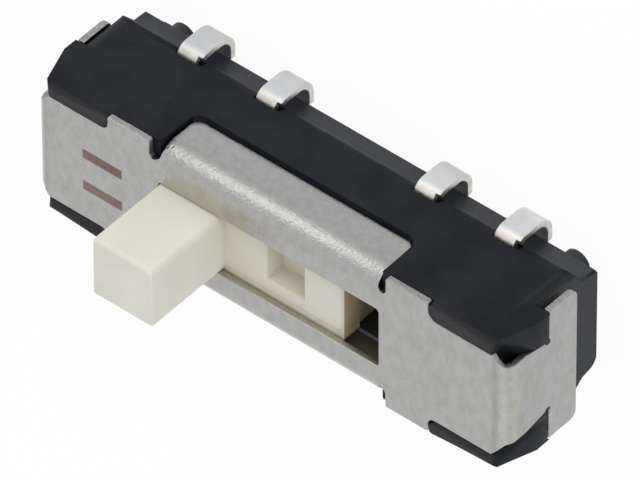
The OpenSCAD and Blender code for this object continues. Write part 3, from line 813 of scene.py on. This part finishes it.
def plain_metal(name, grain, mottle, colours, tones, roughness, relief, stretch=(1, 1, 1)):
    mat, tree, shader, detail, _ = finish(name, grain, mottle, stretch)
    shader.inputs["Metallic"].default_value = 1
    tree.links.new(ramp(tree, detail[colours], *tones).outputs["Color"], shader.inputs["Base Color"])
    other = "Mottle" if colours == "Grain" else "Grain"
    tree.links.new(spread(tree, detail[other], *roughness), shader.inputs["Roughness"])
    bump(tree, detail["Grain"], shader, *relief)
    return mat


cut_tin = plain_metal("cut_lead_edge", 10, 3.0, "Grain", ((0.52, 0.51, 0.46), (0.72, 0.71, 0.67)),
                      (0.32, 0.5), (0.3, 0.008))
print("lead finishes:", tin.name, cut_tin.name)

# %% [markdown]
# Inside, where little shows, the brushes are a copper alloy and the leaf is bare spring strip. Both keep
# their CAD shapes. The leaf's grain is stretched along the strip, as rolling leaves it.

# %% Metals inside
brass = plain_metal("brush_brass", 14, 2.0, "Mottle", ((0.6, 0.4, 0.15), (0.72, 0.5, 0.22)),
                    (0.25, 0.4), (0.2, 0.004))
strip_steel = plain_metal("spring_strip", 10, 2.0, "Mottle", ((0.46, 0.47, 0.48), (0.55, 0.56, 0.57)),
                          (0.25, 0.42), (0.25, 0.004), (0.25, 1, 1))
print("metals inside:", brass.name, strip_steel.name)

# %% Put the finishes on
outside = [(housing, [black]), (slider, [ivory]), (cover, [plated, cut_steel])]
outside += [(made, [tin, cut_tin]) for made in leads]
for made, finishes in outside:
    for mat in finishes:
        made.data.materials.append(mat)
hidden = (("brush_a", brass), ("brush_b", brass), ("detent_spring", strip_steel))
for node, mat in hidden:
    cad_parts[node].data.materials.clear()
    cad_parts[node].data.materials.append(mat)
print("finishes on", len(outside) + len(hidden), "pieces")

# %% [markdown]
# The stage is a plain white floor under soft, even light. For the camera and for reflections the floor is
# white by its own glow, with a share of ordinary diffuse white, so the part keeps a faint shadow. An even
# world lights everything, and three large soft lamps draw the bright lines along the cover's bends and lift
# the long side and the near end.

# %% Floor
floor_mesh = bmesh.new()
bmesh.ops.create_grid(floor_mesh, x_segments=1, y_segments=1, size=0.6)
floor_data = bpy.data.meshes.new("floor")
floor_mesh.to_mesh(floor_data)
floor_mesh.free()
floor = bpy.data.objects.new("floor", floor_data)
scene.collection.objects.link(floor)
print("floor:", floor.dimensions[:])

# %% Floor finish
GLOW_SHARE = 0.95
white = bpy.data.materials.new("white_floor")
white.use_nodes = True
tree = white.node_tree
tree.nodes.remove(tree.nodes["Principled BSDF"])
paint = tree.nodes.new("ShaderNodeBsdfDiffuse")
paint.inputs["Color"].default_value = (0.9, 0.9, 0.9, 1)
glow = tree.nodes.new("ShaderNodeEmission")
glow.inputs["Strength"].default_value = 1
rays = tree.nodes.new("ShaderNodeLightPath").outputs
seen = math_node(tree, "MAXIMUM", rays["Is Camera Ray"], rays["Is Glossy Ray"])
seen = math_node(tree, "MAXIMUM", seen, rays["Is Transmission Ray"])
blend = tree.nodes.new("ShaderNodeMixShader")
tree.links.new(times(tree, seen, GLOW_SHARE), blend.inputs["Fac"])
tree.links.new(paint.outputs[0], blend.inputs[1])
tree.links.new(glow.outputs[0], blend.inputs[2])
tree.links.new(blend.outputs[0], tree.nodes["Material Output"].inputs["Surface"])
floor_data.materials.append(white)
print("floor finish:", white.name)

# %% World and lamps
world = bpy.data.worlds.new("soft_room")
world.use_nodes = True
world.node_tree.nodes["Background"].inputs["Color"].default_value = (0.95, 0.985, 1.07, 1)
world.node_tree.nodes["Background"].inputs["Strength"].default_value = 0.8
scene.world = world


def soft_lamp(name, direction, watts, size, far, tint=(1, 1, 1)):
    data = bpy.data.lights.new(name, "AREA")
    data.shape = "DISK"
    data.size = size
    data.energy = watts
    data.color = tint
    lamp = bpy.data.objects.new(name, data)
    scene.collection.objects.link(lamp)
    towards = Vector(direction).normalized()
    lamp.location = cam_aim + towards * far
    lamp.rotation_euler = towards.to_track_quat("Z", "Y").to_euler()
    return lamp


lamps = [
    soft_lamp("side_lamp", (-0.465, 0.867, 0.25), watts=0.058, size=0.14, far=0.18),
    soft_lamp("fill_lamp", (0.68, 0.7, 0.22), watts=0.16, size=0.2, far=0.25, tint=(0.9, 0.98, 1.12)),
    soft_lamp("end_lamp", (0.55, -0.69, 0.46), watts=0.011, size=0.14, far=0.18),
]
print("lamps:", [lamp.name for lamp in lamps])
